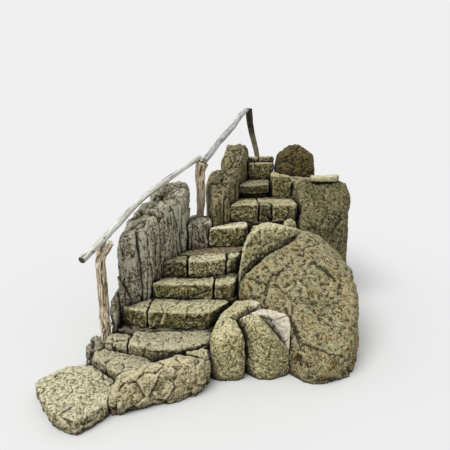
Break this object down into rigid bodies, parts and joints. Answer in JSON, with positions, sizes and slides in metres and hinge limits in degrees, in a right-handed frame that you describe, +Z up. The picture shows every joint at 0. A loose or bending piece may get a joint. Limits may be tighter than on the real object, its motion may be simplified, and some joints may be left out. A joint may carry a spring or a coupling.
{
  "type": "outdoor stone steps",
  "caption": "Short flight of rough granite steps climbing between boulders, with a hand rail of bare branches on crooked posts.",
  "frame": {"origin": "on the underside of the foot slab, level with the ground in front of the flight, below the middle of that slab", "axes": "+Y runs up the climb, +X to the right of a person going up, +Z up"},
  "size_m": [3.5629, 4.2421, 2.8072],
  "materials": {
    "granite": "weathered coarse granite with lichen",
    "pale_granite": "worn pale granite",
    "dark_granite": "stained damp granite",
    "rubble": "dry-laid rubble",
    "packed_earth": "trodden earth and grit",
    "bark_wood": "rough half-peeled branch",
    "bleached_wood": "bare bleached branch"
  },
  "bodies": {
    "root": {"foot_slab": "pale_granite", "lower_slab": "pale_granite", "front_boulder": "granite", "front_chock": "granite", "landing_slab": "pale_granite", "left_chock": "granite", "step1_left": "granite", "step1_right": "granite", "step2_left": "granite", "step2_right": "granite", "step3_left": "granite", "step3_centre": "granite", "step3_right": "dark_granite", "packed_tread": "packed_earth", "step4_block": "granite", "step5_left": "granite", "step5_right": "dark_granite", "step5_slab": "pale_granite", "step6_slab": "granite", "step6_wedge": "dark_granite", "step7_block": "dark_granite", "head_left": "pale_granite", "head_right": "pale_granite", "pile_long": "pale_granite", "pile_back": "granite", "pile_front": "pale_granite", "pile_left": "granite", "flank_boulder": "granite", "flank_slab": "granite", "side_stone_low": "granite", "side_stone_high": "pale_granite", "shoulder_rock": "granite", "ledge_rock": "granite", "ledge_slab": "pale_granite", "cheek_block": "pale_granite", "head_rock": "granite", "post_foot": "granite", "left_strip": "granite", "column_1": "granite", "column_2": "granite", "column_3": "granite", "post_pier": "granite", "bank_rock": "granite", "upper_bank": "granite", "hearting_low": "rubble", "hearting_mid": "rubble", "hearting_high": "rubble", "post_low": "bark_wood", "post_mid": "bark_wood", "post_top": "bark_wood", "rail_low": "bleached_wood", "rail_high": "bleached_wood"}
  },
  "joints": []
}
